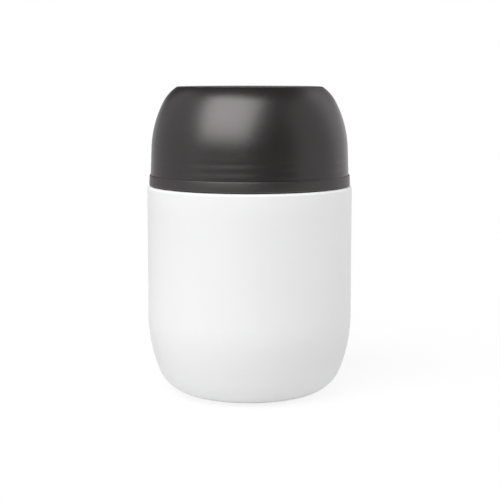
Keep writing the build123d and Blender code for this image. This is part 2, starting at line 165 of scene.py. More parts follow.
class JarLook(bpy.types.PropertyGroup):
    """Colours and smoothness of the jar's finishes."""

    coat: tint("Coat", "Powder coat of the body", 0.89, 0.89, 0.895)
    lid: tint("Lid", "Moulded lid and its liner", 0.0125, 0.0098, 0.0104)
    band: tint("Band", "Trim ring of the lid", 0.0165, 0.0135, 0.014)
    steel: tint("Steel", "Stainless steel", 0.66, 0.645, 0.62)
    stopper: tint("Stopper", "Stopper and its cover", 0.74, 0.735, 0.72)
    acetal: tint("Acetal", "Vent stem, guide and swivel head", 0.045, 0.04, 0.041)
    ring: tint("Ring", "Swivel ring", 0.36, 0.36, 0.35)
    silicone: tint("Silicone", "Gasket and vent seal", 0.5, 0.51, 0.51)
    pad: tint("Pad", "Foot pad", 0.055, 0.05, 0.05)
    foam: tint("Foam", "Insulation of stopper and lid", 0.88, 0.88, 0.86)
    coat_roughness: share("Coat roughness", "Powder coat", 0.5)
    lid_roughness: share("Lid roughness", "Moulded lid", 0.28)
    steel_roughness: share("Steel roughness", "Turned and polished steel", 0.2)


class JarStudio(bpy.types.PropertyGroup):
    """Camera, lamps and floor."""

    distance: length("Distance", "From the jar's axis to the camera", 568)
    height: length("Height", "Height of the camera", 141.7)
    pitch: FloatProperty(
        name="Pitch",
        description="How far the camera looks down",
        default=math.radians(6.364),
        subtype="ANGLE",
        unit="ROTATION",
    )
    lens: FloatProperty(name="Lens", description="Focal length in millimetres", default=92.95)
    shift_x: FloatProperty(name="Shift across", description="Share of the frame", default=0.0008)
    shift_y: FloatProperty(name="Shift up", description="Share of the frame", default=-0.07)
    paper: share("Paper", "Share of light that the floor throws back at the jar", 0.4)
    paper_near: share("Paper near", "The same close round the jar", 0.8)
    paper_shown: share("Paper shown", "Brightness of the floor to the camera", 0.95)
    glow: share("Glow", "Share of plain white in the floor that the camera sees", 0.85)
    surroundings: share("Surroundings", "Brightness of the room", 0.04)
    near_start: length("Near start", "From the axis to where the floor starts to throw less back", 30)
    near_end: length("Near end", "From the axis to where it throws back the least", 72)
    glow_start: length("Glow start", "From the axis to where the floor's white starts to rise", 60)
    glow_end: length("Glow end", "From the axis to where the floor is plain white", 270)
    floor_side: length("Floor beside", "From the jar to the front and side edges of the floor", 300)
    floor_back: length("Floor behind", "From the jar to the back edge of the floor", 5000)


# ---- Shader graphs --------------------------------------------------------------------


class Wire:
    """A shader socket that Python's arithmetic works on, by adding Math nodes."""

    def __init__(self, graph, socket):
        self.graph = graph
        self.socket = socket

    def maths(self, operation, *values):
        return self.graph.node("ShaderNodeMath", {"operation": operation}, dict(enumerate(values)))

    def __add__(self, other):
        return self.maths("ADD", self, other)

    def __sub__(self, other):
        return self.maths("SUBTRACT", self, other)

    def __rsub__(self, other):
        return self.maths("SUBTRACT", other, self)

    def __mul__(self, other):
        return self.maths("MULTIPLY", self, other)

    def __pow__(self, other):
        return self.maths("POWER", self, other)

    __radd__ = __add__
    __rmul__ = __mul__


def opaque(value):
    """Red, green and blue with an alpha of 1, or the link that carries a colour."""
    return value if isinstance(value, Wire) else (*value, 1.0)


def grey(level):
    """A colour without hue."""
    return (level,) * 3


def shaded(colour, factor):
    """A colour made darker or paler, as plain numbers."""
    return tuple(min(1.0, channel * factor) for channel in colour)


class Graph:
    """A node tree, with the few patterns that the finishes are made of."""

    def __init__(self, tree):
        self.tree = tree

    def feed(self, socket, value):
        """Link a wire to a socket, or set the socket to a plain value."""
        if isinstance(value, Wire):
            self.tree.links.new(value.socket, socket)
        else:
            socket.default_value = value

    def node(self, kind, settings=None, sockets=None, output=0):
        """Add a node: its settings first, then the values or links of its sockets."""
        node = self.tree.nodes.new(kind)
        for name, value in (settings or {}).items():
            setattr(node, name, value)
        for name, value in (sockets or {}).items():
            self.feed(node.inputs[name], value)
        return Wire(self, node.outputs[output])

    def place(self):
        """Where a point lies on the piece, in metres."""
        return self.node("ShaderNodeTexCoord", output="Object")

    def along(self, axis):
        """One coordinate of a point on the piece."""
        return self.node("ShaderNodeSeparateXYZ", {}, {0: self.place()}, output=axis)

    def from_axis(self):
        """How far a point on the piece is from the jar's axis."""
        return (self.along("X") ** 2 + self.along("Y") ** 2) ** 0.5

    def grain(self, size, detail=2.0, place=None, slow=0.0):
        """Cloudy noise from 0 to 1 whose lumps are about size across."""
        sockets = {
            "Vector": place or self.place(),
            "W": slow,
            "Scale": 1 / size,
            "Detail": detail,
        }
        return self.node("ShaderNodeTexNoise", {"noise_dimensions": "4D"}, sockets)

    def rings(self, pitch, fade):
        """Fine turning marks round the jar's axis, pitch apart, that come and go over fade."""
        across = {0: self.from_axis(), 1: self.along("Z"), 2: self.along("X") * (pitch / fade)}
        section = self.node("ShaderNodeCombineXYZ", {}, across)
        return self.grain(pitch, 3.0, section, self.along("Y") * (1 / fade))

    def beads(self, size, feature="F1"):
        """Round cells of about size: 0 at their centres, 1 where they meet."""
        sockets = {"Vector": self.place(), "Scale": 1 / size}
        return self.node("ShaderNodeTexVoronoi", {"feature": feature}, sockets)

    def step(self, value, low, high):
        """A smooth step from 0 at low to 1 at high."""
        sockets = {"Value": value, "From Min": low, "From Max": high}
        return self.node("ShaderNodeMapRange", {"interpolation_type": "SMOOTHSTEP"}, sockets)

    def mix(self, factor, first, second):
        """A mix of two colours, the second where factor is 1."""
        sockets = {0: factor, 6: opaque(first), 7: opaque(second)}
        return self.node("ShaderNodeMix", {"data_type": "RGBA"}, sockets, output=2)

    def relief(self, height, depth, under=None):
        """Bump from a height of 0 to 1 that stands for depth, over another relief if given."""
        sockets = {"Height": height, "Distance": depth}
        if under:
            sockets["Normal"] = under
        return self.node("ShaderNodeBump", {}, sockets)


class Finish(Graph):
    """A material with one surface shader."""

    def __init__(self, name):
        self.material = bpy.data.materials.new(name)
        self.material.use_nodes = True
        super().__init__(self.material.node_tree)
        self.shader = self.tree.nodes["Principled BSDF"]

    def surface(self, **sockets):
        """Feed the shader's sockets, whose names are written with underscores."""
        for name, value in sockets.items():
            value = opaque(value) if name == "Base_Color" else value
            self.feed(self.shader.inputs[name.replace("_", " ")], value)
        return self.material


# ---- Finishes -------------------------------------------------------------------------


def powder_coat(look, shape):
    """White powder coat on the body, with bare turned steel above the shoulder."""
    finish = Finish("powder coat")
    height = finish.along("Z")
    coat_end = foot("outer_shell") + shape.shoulder_height
    bare = finish.step(height, coat_end + 0.05 * MM, coat_end + 0.25 * MM)
    crest = finish.step(
        finish.from_axis(),
        shape.neck_radius + 0.5 * shape.thread_depth,
        shape.neck_radius + shape.thread_depth,
    )
    clouds = finish.grain(16 * MM)
    peel = finish.grain(0.8 * MM, 3.0)
    specks = finish.grain(0.2 * MM)
    marks = finish.rings(0.15 * MM, 12 * MM)
    rubbed = (1 - finish.step(height, 0.6 * MM, 2.4 * MM)) * finish.grain(1.2 * MM, 4.0)
    clean = finish.mix(clouds, look.coat, shaded(look.coat, 0.975))
    coat = finish.mix(rubbed * 0.5, clean, (0.42, 0.42, 0.43))
    dull = look.coat_roughness + 0.06 * clouds + 0.08 * specks
    bright = look.steel_roughness + 0.12 * marks - 0.08 * crest
    coat_relief = finish.relief(0.75 * peel + 0.25 * specks, 0.055 * MM)
    return finish.surface(
        Base_Color=finish.mix(bare, coat, look.steel),
        Metallic=bare,
        Roughness=dull * (1 - bare) + bright * bare,
        Normal=finish.relief(marks * bare, 0.004 * MM, coat_relief),
    )


def moulded(name, colour, roughness, fineness=0.3 * MM, depth=0.02 * MM):
    """Moulded plastic with the fine spark-eroded texture of its mould over a faint waviness."""
    finish = Finish(name)
    clouds = finish.grain(18 * MM)
    waves = finish.grain(1.6 * MM)
    texture = finish.grain(fineness, 3.0)
    swept = finish.mix(texture, shaded(colour, 0.88), shaded(colour, 1.16))
    return finish.surface(
        Base_Color=finish.mix(clouds * 0.4, swept, shaded(colour, 1.2)),
        Roughness=roughness + 0.06 * texture + 0.05 * waves + 0.02 * clouds,
        Normal=finish.relief(texture, depth, finish.relief(waves, 0.016 * MM)),
        IOR=1.55,
        Specular_IOR_Level=1.0,
        Specular_Tint=(1.0, 0.95, 0.96, 1.0),
    )


def turned_steel(name, colour, roughness, pitch=0.2 * MM):
    """Stainless steel with fine turning marks and faint water stains."""
    finish = Finish(name)
    marks = finish.rings(pitch, 14 * MM)
    stains = finish.step(finish.grain(9 * MM, 4.0), 0.45, 0.7)
    return finish.surface(
        Base_Color=finish.mix(stains, colour, shaded(colour, 0.93)),
        Metallic=1.0,
        Roughness=roughness + 0.12 * marks + 0.05 * stains,
        Normal=finish.relief(marks, 0.003 * MM),
    )


def rolled_steel(name, colour):
    """Thin strip with rolling marks along its length, which is Y."""
    finish = Finish(name)
    across = {0: finish.along("X"), 1: finish.along("Y") * 0.02, 2: finish.along("Z")}
    marks = finish.grain(0.08 * MM, 3.0, finish.node("ShaderNodeCombineXYZ", {}, across))
    return finish.surface(
        Base_Color=finish.mix(marks, colour, shaded(colour, 0.88)),
        Metallic=1.0,
        Roughness=0.28 + 0.14 * marks,
        Normal=finish.relief(marks, 0.003 * MM),
    )


def crinkled_foil(name, colour):
    """Bright foil with the creases it takes as it is wrapped."""
    finish = Finish(name)
    creases = finish.beads(5 * MM, "DISTANCE_TO_EDGE")
    soft = finish.grain(2 * MM, 3.0)
    return finish.surface(
        Base_Color=finish.mix(soft, colour, shaded(colour, 0.9)),
        Metallic=1.0,
        Roughness=0.14 + 0.12 * soft,
        Normal=finish.relief(finish.step(creases, 0.0, 0.15) + soft * 0.4, 0.12 * MM),
    )


def sintered(name, colour):
    """Pressed metal powder: a dull grainy face, with painted highlights on the grain tops and painted
    shade in the pits between the grains.
    """
    finish = Finish(name)
    grains = finish.beads(0.18 * MM)
    return finish.surface(
        # Base colour paler at the grain centres, which the relief raises, and darker where the grains
        # meet: a painted highlight on the grain tops and painted shade in the pits between them.
        Base_Color=finish.mix(grains, shaded(colour, 1.15), shaded(colour, 0.75)),
        Metallic=1.0,
        Roughness=0.5 + 0.2 * grains,
        Normal=finish.relief(1 - grains, 0.03 * MM),
    )


def solder_glass(name, colour):
    """A fused drop of dark glass with a slightly frothy skin."""
    finish = Finish(name)
    froth = finish.beads(0.5 * MM)
    flow = finish.grain(1.5 * MM, 3.0)
    return finish.surface(
        Base_Color=finish.mix(flow, colour, shaded(colour, 1.6)),
        Roughness=0.08 + 0.14 * flow,
        Normal=finish.relief(froth * 0.4 + flow, 0.03 * MM),
        Coat_Weight=0.6,
    )


def silicone(name, colour, roughness=0.42):
    """Soft rubber: a satin moulded skin with a faint bloom and a little dust."""
    finish = Finish(name)
    bloom = finish.grain(4 * MM, 4.0)
    skin = finish.grain(0.25 * MM)
    dust = finish.step(finish.grain(0.35 * MM, 1.0), 0.68, 0.78)
    fresh = finish.mix(bloom, shaded(colour, 0.94), shaded(colour, 1.08))
    return finish.surface(
        Base_Color=finish.mix(dust * 0.25, fresh, (0.6, 0.6, 0.6)),
        Roughness=roughness + 0.14 * bloom + 0.1 * dust,
        Normal=finish.relief(skin, 0.006 * MM),
    )


def beaded_foam(name, colour):
    """Expanded polystyrene: round beads pressed together, with painted shade in the crevices where
    they meet.
    """
    finish = Finish(name)
    beads = finish.beads(2.6 * MM)
    pores = finish.grain(0.3 * MM)
    return finish.surface(
        # Base colour darker where the beads meet, in the crevices that the relief sinks: painted
        # shade between the beads.
        Base_Color=finish.mix(beads, colour, shaded(colour, 0.86)),
        Roughness=0.75 + 0.15 * pores,
        Normal=finish.relief(1 - beads, 0.25 * MM, finish.relief(pores, 0.03 * MM)),
    )


# ---- Outlines, as (radius, height) ----------------------------------------------------


def arc_centre(start, normal, end):
    """Centre of the arc that is square to normal at start and passes through end."""
    chord = end - start
    return start + normal * (chord.dot(chord) / (2 * normal.dot(chord)))


def sweep(centre, first, last, radius, steps):
    """Points on an arc about centre, the short way from direction first to direction last."""
    begin = math.atan2(first.y, first.x)
    turn = math.remainder(math.atan2(last.y, last.x) - begin, math.tau)
    angles = [begin + turn * step / steps for step in range(steps + 1)]
    return [centre + radius * Vector((math.cos(angle), math.sin(angle))) for angle in angles]


def rounded(points, steps=4):
    """A closed outline of (radius, height, rounding) corners, with each corner rounded off."""
    outline = []
    for index, (radius, height, rounding) in enumerate(points):
        corner = Vector((radius, height))
        if not rounding:
            outline.append(corner)
            continue
        back = (Vector(points[index - 1][:2]) - corner).normalized()
        ahead = (Vector(points[(index + 1) % len(points)][:2]) - corner).normalized()
        half = back.angle(ahead) / 2
        centre = corner + (back + ahead).normalized() * (rounding / math.sin(half))
        touch = rounding / math.tan(half)
        first = corner + back * touch - centre
        last = corner + ahead * touch - centre
        outline += sweep(centre, first, last, rounding, steps)
    return outline


def base_arcs(shape, inset, lift=0.0):
    """The rounded base from its flat up to the wall, moved in by inset and then up by lift."""
    base = foot("outer_shell")
    body = reach("outer_shell")
    wall_foot = Vector((body, base + shape.belly_height))
    heel = Vector((body - shape.heel_inset, base + shape.heel_height))
    belly_centre = arc_centre(wall_foot, OUT, heel)
    heel_normal = (heel - belly_centre).normalized()
    heel_radius = shape.heel_height / (1 + heel_normal.y)
    heel_centre = heel - heel_normal * heel_radius
    belly_radius = body - belly_centre.x
    arcs = sweep(heel_centre, DOWN, heel_normal, heel_radius - inset, steps=16)
    arcs += sweep(belly_centre, heel_normal, OUT, belly_radius - inset, steps=24)[1:]
    return [point + Vector((0, lift)) for point in arcs]


# ---- Modelling ------------------------------------------------------------------------


def start_piece(name, adder, **settings):
    """Add a primitive with nothing else selected, and open it for editing."""
    bpy.ops.object.select_all(action="DESELECT")
    adder(**settings)
    piece = bpy.context.object
    piece.name = name
    piece.data.name = name
    bpy.ops.object.mode_set(mode="EDIT")
    return piece


def turned(name, outline, sides):
    """Draw an outline from one vertex and spin it round the jar's axis."""
    first = outline[0]
    piece = start_piece(
        name, bpy.ops.mesh.primitive_plane_add, size=MM, location=(first.x, 0, first.y)
    )
    bpy.ops.mesh.merge(type="CENTER")
    for last, point in zip(outline, outline[1:]):
        move = point - last
        bpy.ops.mesh.extrude_vertices_move(TRANSFORM_OT_translate={"value": (move.x, 0, move.y)})
    bpy.ops.mesh.select_all(action="SELECT")
    bpy.ops.mesh.spin(steps=sides, angle=math.tau, center=(0, 0, 0), axis=(0, 0, 1))
    bpy.ops.mesh.select_all(action="SELECT")
    bpy.ops.mesh.remove_doubles(threshold=WELD)
    bpy.ops.mesh.normals_make_consistent(inside=False)
    bpy.ops.object.mode_set(mode="OBJECT")
    bpy.ops.object.transform_apply(location=True, rotation=True, scale=True)
    return piece


def apply_modifier(piece, kind, **settings):
    """Add a modifier, set it and apply it."""
    modifier = piece.modifiers.new(kind.lower(), kind)
    for name, value in settings.items():
        setattr(modifier, name, value)
    bpy.ops.object.modifier_apply(modifier=modifier.name)


def thread(name, shape, wall, start_height, length_in_turns, side):
    """A helical ridge that stands out of a round wall (side 1) or into it (side -1)."""
    rooting = shape.shell_gauge / 2
    root = wall - side * rooting
    crest = wall + side * shape.thread_depth
    width = abs(crest - root)
    piece = start_piece(
        name,
        bpy.ops.mesh.primitive_plane_add,
        size=1,
        location=((root + crest) / 2, 0, start_height),
        rotation=(math.radians(90), 0, 0),
    )
    bpy.ops.mesh.select_all(action="SELECT")
    bpy.ops.transform.resize(value=(width, 1, shape.thread_root))
    bpy.ops.object.mode_set(mode="OBJECT")
    bpy.ops.object.transform_apply(location=True, rotation=True, scale=True)
    pick(piece, lambda point: abs(point.x - crest) < CLOSE)
    narrowing = shape.thread_crest / shape.thread_root
    bpy.ops.transform.resize(value=(1, 1, narrowing), center_override=(crest, 0, start_height))
    bpy.ops.mesh.bevel(affect="VERTICES", offset=shape.thread_round, segments=3)
    bpy.ops.mesh.select_all(action="SELECT")
    bpy.ops.mesh.delete(type="ONLY_FACE")
    bpy.ops.object.mode_set(mode="OBJECT")
    turned_by = math.tau * length_in_turns
    rise = shape.thread_lead * length_in_turns
    steps = round(shape.sides * length_in_turns)
    apply_modifier(
        piece,
        "SCREW",
        angle=turned_by,
        screw_offset=rise,
        steps=steps,
        render_steps=steps,
        use_smooth_shade=True,
    )
    bpy.ops.object.mode_set(mode="EDIT")
    bpy.ops.mesh.select_all(action="SELECT")
    bpy.ops.mesh.fill_holes(sides=0)
    bpy.ops.mesh.select_all(action="SELECT")
    bpy.ops.mesh.normals_make_consistent(inside=False)
    bpy.ops.object.mode_set(mode="OBJECT")
    for angle, height in ((0, start_height), (turned_by, start_height + rise)):
        run_out(piece, shape, angle, height, wall, side)
    return piece


def run_out(piece, shape, angle, height, wall, side):
    """Sink one end of a thread into its wall, so that it fades in over thread_fade."""
    direction = Vector((math.cos(angle), math.sin(angle), 0))
    sunk = 1.1 * shape.thread_depth
    end = direction * wall + Vector((0, 0, height))
    across = Vector((-direction.y, direction.x, 0))

    def on_end(point):
        offset = point - end
        return offset.length < shape.thread_lead / 2 and abs(offset.dot(across)) < CLOSE

    pick(piece, on_end)
    bpy.ops.transform.translate(
        value=direction * (-side * sunk),
        use_proportional_edit=True,
        use_proportional_connected=True,
        proportional_edit_falloff="SMOOTH",
        proportional_size=shape.thread_fade,
    )
    bpy.ops.object.mode_set(mode="OBJECT")


def pick(piece, wanted):
    """Open a piece for editing with only the vertices selected whose place is wanted."""
    bpy.context.view_layer.objects.active = piece
    bpy.ops.object.mode_set(mode="EDIT")
    bpy.ops.mesh.select_mode(type="VERT")
    bpy.ops.mesh.select_all(action="DESELECT")
    bpy.ops.object.mode_set(mode="OBJECT")
    for vertex in piece.data.vertices:
        vertex.select = wanted(vertex.co)
    bpy.ops.object.mode_set(mode="EDIT")


def settle(piece, material, body, slot, *nodes, smooth=math.radians(40)):
    """Finish a piece: smooth it, give it its material, hide the CAD nodes it stands for and tie it to
    its body.
    """
    bpy.ops.object.select_all(action="DESELECT")
    piece.select_set(True)
    bpy.context.view_layer.objects.active = piece
    bpy.ops.object.shade_smooth_by_angle(angle=smooth)
    piece.data.materials.append(material)
    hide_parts(*nodes)
    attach(piece, body)


def dress(material, *nodes):
    """Give CAD nodes a finish."""
    for node in nodes:
        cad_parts[node].material_slots[0].material = material


# ---- Pieces ---------------------------------------------------------------------------


class JAR_OT_body_shell(bpy.types.Operator):
    """Turn the coated body shell with its rounded base and neck, and wind the neck's thread"""

    bl_idname = "jar.body_shell"
    bl_label = "Body shell"

    def execute(self, context):
        shape = context.scene.jar_shape
        base = foot("outer_shell")
        body = reach("outer_shell")
        shoulder = base + shape.shoulder_height

        def skin(inset):
            """The shell's outline from the base opening to the top of its neck."""
            arcs = base_arcs(shape, inset)
            upper = [
                (body - inset, arcs[-1].y, 0),
                (body - inset, shoulder - inset, shape.shoulder_round - inset),
                (shape.neck_radius - inset, shoulder - inset, shape.root_round + inset),
                (shape.neck_radius - inset, top("outer_shell"), 0),
            ]
            wall = rounded(upper, steps=6)
            rows = 6
            straight = [wall[0].lerp(wall[1], row / rows) for row in range(1, rows)]
            opening = Vector((arcs[0].x - shape.base_flange, base + inset))
            return [opening, *arcs, *straight, *wall[1:]]

        outline = skin(0) + skin(shape.shell_gauge)[::-1]
        shell = turned("body_shell", outline + outline[:1], shape.sides)
        coat = powder_coat(context.scene.jar_look, shape)
        settle(shell, coat, "jar", "white_coat", "outer_shell")
        start = shape.neck_thread_start
        ridge = thread("neck_thread", shape, shape.neck_radius, start, shape.neck_thread_turns, 1)
        settle(ridge, coat, "jar", "white_coat", "outer_shell")
        return {"FINISHED"}


class JAR_OT_liner(bpy.types.Operator):
    """Turn the steel liner, drawn in to the mouth and folded out to the brim"""

    bl_idname = "jar.liner"
    bl_label = "Liner"

    def execute(self, context):
        shape = context.scene.jar_shape
        look = context.scene.jar_look
        gauge = shape.shell_gauge
        brim = top("inner_liner")
        base = foot("inner_liner")
        wall = reach("inner_liner")
        gap = reach("outer_shell") - wall
        lift = base - foot("outer_shell") - gap
        mouth = shape.mouth_radius
        wall_top = Vector((wall, brim - shape.funnel_drop - shape.funnel_height))
        neck_foot = Vector((mouth + gauge, brim - shape.funnel_drop))
        middle = (wall_top + neck_foot) / 2
        lower_centre = arc_centre(wall_top, OUT, middle)
        upper_centre = 2 * middle - lower_centre
        lean = (middle - lower_centre).normalized()
        funnel_radius = wall - lower_centre.x

        def skin(inset):
            """One side of the liner's sheet, from the axis up to the foot of its neck."""
            return [
                Vector((0, base + inset)),
                *base_arcs(shape, gap + inset, lift),
                *sweep(lower_centre, OUT, lean, funnel_radius - inset, steps=12),
                *sweep(upper_centre, -lean, -OUT, funnel_radius + inset, steps=12)[1:],
            ]

        fold = brim - shape.brim_gauge
        brim_corners = [
            (mouth + gauge, fold, 0),
            (shape.neck_radius, fold, 0),
            (shape.neck_radius, brim, shape.brim_round),
            (mouth, brim, shape.brim_round),
            (mouth, fold, 0),
        ]
        outline = skin(0) + rounded(brim_corners, steps=8) + skin(gauge)[::-1]
        liner = turned("liner", outline, shape.sides)
        steel = turned_steel("liner steel", look.steel, look.steel_roughness)
        settle(liner, steel, "jar", "liner_steel", "inner_liner")
        return {"FINISHED"}


class JAR_OT_lid_dome(bpy.types.Operator):
    """Turn the domed lid shell, press the thread's sink marks into it and wind its thread"""

    bl_idname = "jar.lid_dome"
    bl_label = "Lid dome"

    def execute(self, context):
        shape = context.scene.jar_shape
        look = context.scene.jar_look
        peak = top("lid_shell")
        edge = foot("lid_shell")
        wall = reach("lid_shell")
        band_top = top("lid_band")
        dome_start = foot("lid_liner")
        liner_seat = reach("lid_liner")
        bore = wall - shape.lid_wall
        seat = wall - shape.band_sink
        slope = math.tan(shape.lid_draft)
        lean = Vector((1, slope)).normalized()

        dome_foot = Vector((wall - (dome_start - band_top) * slope, dome_start))
        crown = Vector((wall - shape.crown_inset, peak - shape.crown_height))
        top_edge = Vector((wall - shape.top_inset, peak))
        side_centre = arc_centre(dome_foot, lean, crown)
        crown_normal = (crown - side_centre).normalized()
        crown_centre = arc_centre(crown, crown_normal, top_edge)
        crown_radius = (crown - crown_centre).length
        side_radius = (dome_foot - side_centre).length

        def over(inset, rounding):
            """The dome's outline from its foot to the axis, moved in by inset."""
            level = peak - inset
            edge_radius = crown_radius - inset - rounding
            drop = level - rounding - crown_centre.y
            edge_centre = crown_centre + Vector(((edge_radius**2 - drop**2) ** 0.5, drop))
            turn = (edge_centre - crown_centre).normalized()
            outline = sweep(side_centre, lean, crown_normal, side_radius - inset, steps=22)
            outline += sweep(crown_centre, crown_normal, turn, crown_radius - inset, steps=8)[1:]
            if rounding:
                outline += sweep(edge_centre, turn, UP, rounding, steps=8)[1:]
            flat = outline[-1].x
            return outline + [Vector((flat * ring, level)) for ring in flat_rings]

        flat_rings = (0.97, 0.7, 0.4, 0.15, 0)
        rows = 30
        wall_foot = Vector((wall, band_top))
        outside = [wall_foot.lerp(dome_foot, row / rows) for row in range(rows)]
        outline = [
            *over(shape.lid_wall, 0)[::-1],
            Vector((liner_seat, dome_start)),
            Vector((bore, dome_start)),
            Vector((bore, edge)),
            Vector((seat, edge)),
            Vector((seat, band_top)),
            *outside,
            *over(0, shape.top_round),
        ]
        dome = turned("lid_dome", outline, shape.sides)
        self.press_marks(dome, shape, band_top)
        plastic = moulded("lid plastic", look.lid, look.lid_roughness)
        settle(dome, plastic, "lid", "lid_plastic", "lid_shell")
        start = shape.lid_thread_start
        ridge = thread("lid_thread", shape, bore, start, shape.lid_thread_turns, -1)
        settle(ridge, plastic, "lid", "lid_plastic", "lid_shell")
        return {"FINISHED"}

    def press_marks(self, dome, shape, band_top):
        """Draw the wall in a little where the thread's thicker plastic shrank behind it."""
        lead = shape.thread_lead
        low = band_top - lead / 2
        high = low + shape.sink_turns * lead
        inner = reach("lid_shell") - shape.lid_wall / 2
        for vertex in dome.data.vertices:
            place = vertex.co
            radius = place.xy.length
            if radius < inner or not low < place.z < high:
                continue
            phase = math.tau * (place.z - low) / lead - math.atan2(place.x, -place.y)
            fade = min(1, 2 * (high - place.z) / lead)
            place.xy *= 1 - fade * shape.sink_depth * (1 - math.cos(phase)) / (2 * radius)


class JAR_OT_trim_band(bpy.types.Operator):
    """Turn the trim ring let into the lid's rim"""

    bl_idname = "jar.trim_band"
    bl_label = "Trim band"

    def execute(self, context):
        shape = context.scene.jar_shape
        look = context.scene.jar_look
        low = foot("lid_band")
        high = top("lid_band")
        rim = reach("lid_band")
        bore = reach("lid_shell") - shape.lid_wall
        seat = reach("lid_shell") - shape.band_sink
        edge = foot("lid_shell")
        fine = shape.band_edge
        outline = rounded(
            [
                (bore, low, fine),
                (rim, low, shape.band_round),
                (rim - shape.band_flare, high, shape.band_round),
                (seat, high, fine),
                (seat, edge, 0),
                (bore, edge, fine),
            ],
            steps=6,
        )
        band = turned("trim_band", outline + outline[:1], shape.sides)
        plastic = moulded("band plastic", look.band, look.lid_roughness + 0.08, fineness=0.2 * MM)
        settle(band, plastic, "lid", "band_plastic", "lid_band")
        return {"FINISHED"}


class JAR_OT_foot_pad(bpy.types.Operator):
    """Turn the grooved silicone pad that the jar stands on"""

    bl_idname = "jar.foot_pad"
    bl_label = "Foot pad"

    def execute(self, context):
        shape = context.scene.jar_shape
        rim = reach("base_pad")
        high = top("base_pad")
        deep = shape.groove_depth
        fine = shape.pad_edge
        grooves = []
        for groove in range(shape.grooves, 0, -1):
            outside = rim - shape.groove_pitch * groove
            inside = outside - shape.groove_width
            grooves += [(inside, 0, fine), (inside, deep, fine)]
            grooves += [(outside, deep, fine), (outside, 0, fine)]
        outline = rounded([(0, 0, 0), *grooves, (rim, 0, 2 * fine), (rim, high, fine), (0, high, 0)])
        pad = turned("foot_pad", outline, shape.sides)
        rubber = silicone("pad rubber", context.scene.jar_look.pad, 0.55)
        settle(pad, rubber, "jar", "pad_rubber", "base_pad")
        return {"FINISHED"}


class JAR_OT_brim_seal(bpy.types.Operator):
    """Turn the soft ring that seals on the brim, with two beads under it"""

    bl_idname = "jar.brim_seal"
    bl_label = "Brim seal"

    def execute(self, context):
        shape = context.scene.jar_shape
        low = foot("stopper_gasket")
        high = top("stopper_gasket")
        rim = reach("stopper_gasket")
        bore = rim - shape.gasket_width
        bead = shape.gasket_bead
        fine = shape.gasket_edge
        bead_places = (0.3, 0.63)
        beads = []
        for share_across in bead_places:
            place = bore + share_across * shape.gasket_width
            beads += [
                (place - bead, low + bead, fine),
                (place - 0.5 * bead, low, fine),
                (place + 0.5 * bead, low, fine),
                (place + bead, low + bead, fine),
            ]
        outer = [(rim, low + bead, 4 * fine), (rim, high, fine)]
        outline = rounded([(bore, low + bead, 0), *beads, *outer, (bore, high, 0)])
        seal = turned("brim_seal", outline + outline[:1], shape.sides)
        rubber = silicone("gasket silicone", context.scene.jar_look.silicone)
        settle(seal, rubber, "stopper", "gasket_rubber", "stopper_gasket")
        return {"FINISHED"}


class JAR_OT_steel_parts(bpy.types.Operator):
    """Finish the base plate and what is inside the vacuum"""

    bl_idname = "jar.steel_parts"
    bl_label = "Steel parts"

    def execute(self, context):
        look = context.scene.jar_look
        plain_steel = shaded(look.steel, 0.95)
        dress(turned_steel("plate steel", plain_steel, 0.28, pitch=0.4 * MM), "base_plate")
        dress(rolled_steel("strap steel", plain_steel), "getter_strap")
        dress(crinkled_foil("foil", (0.8, 0.8, 0.82)), "foil_shield")
        dress(sintered("getter metal", (0.36, 0.35, 0.34)), "getter")
        dress(solder_glass("seal glass", (0.05, 0.065, 0.065)), "vacuum_seal")
        return {"FINISHED"}


class JAR_OT_stopper_parts(bpy.types.Operator):
    """Finish the stopper, its cover, its insulation and the guide"""

    bl_idname = "jar.stopper_parts"
    bl_label = "Stopper parts"

    def execute(self, context):
        look = context.scene.jar_look
        dress(moulded("stopper plastic", look.stopper, 0.34, fineness=0.35 * MM), "stopper_cup")
        dress(moulded("cover plastic", shaded(look.stopper, 0.98), 0.38), "stopper_cover")
        dress(beaded_foam("stopper insulation", look.foam), "stopper_foam")
        dress(moulded("guide plastic", look.acetal, 0.34), "valve_guide")
        return {"FINISHED"}


class JAR_OT_vent_parts(bpy.types.Operator):
    """Finish the vent stem, its seal and its swivel head"""

    bl_idname = "jar.vent_parts"
    bl_label = "Vent parts"

    def execute(self, context):
        look = context.scene.jar_look
        dress(moulded("stem plastic", look.acetal, 0.3), "vent_stem")
        dress(moulded("head plastic", shaded(look.acetal, 1.1), 0.3), "swivel_head")
        dress(silicone("seal silicone", look.silicone), "vent_seal")
        return {"FINISHED"}


class JAR_OT_lid_inside(bpy.types.Operator):
    """Finish the lid's liner, its insulation and the swivel ring"""

    bl_idname = "jar.lid_inside"
    bl_label = "Lid inside"

    def execute(self, context):
        look = context.scene.jar_look
        liner_plastic = moulded("liner plastic", shaded(look.lid, 1.15), 0.3, fineness=0.4 * MM)
        dress(liner_plastic, "lid_liner")
        dress(moulded("ring plastic", look.ring, 0.32), "swivel_ring")
        dress(beaded_foam("lid insulation", look.foam), "lid_foam")
        return {"FINISHED"}


# ---- Studio ---------------------------------------------------------------------------

# Each lamp's name, direction and height over the horizon in degrees, angle across, brightness,
# and whether glossy pieces mirror it.
LAMPS = (
    ("key softbox", -30, 44, 57, 3.4, True),
    ("right panel", 97, 8, 86, 0.38, True),
    ("right rim", 137, 20, 50, 0.34, True),
    ("left panel", -98, 8, 88, 0.38, True),
    ("right fill", 80, 15, 60, 1.2, False),
    ("left fill", -80, 15, 50, 0.35, False),
    ("front fill", 10, 0, 50, 0.3, False),
    ("back fill", 175, 30, 80, 0.8, False),
)
LAMP_REACH = 5.0


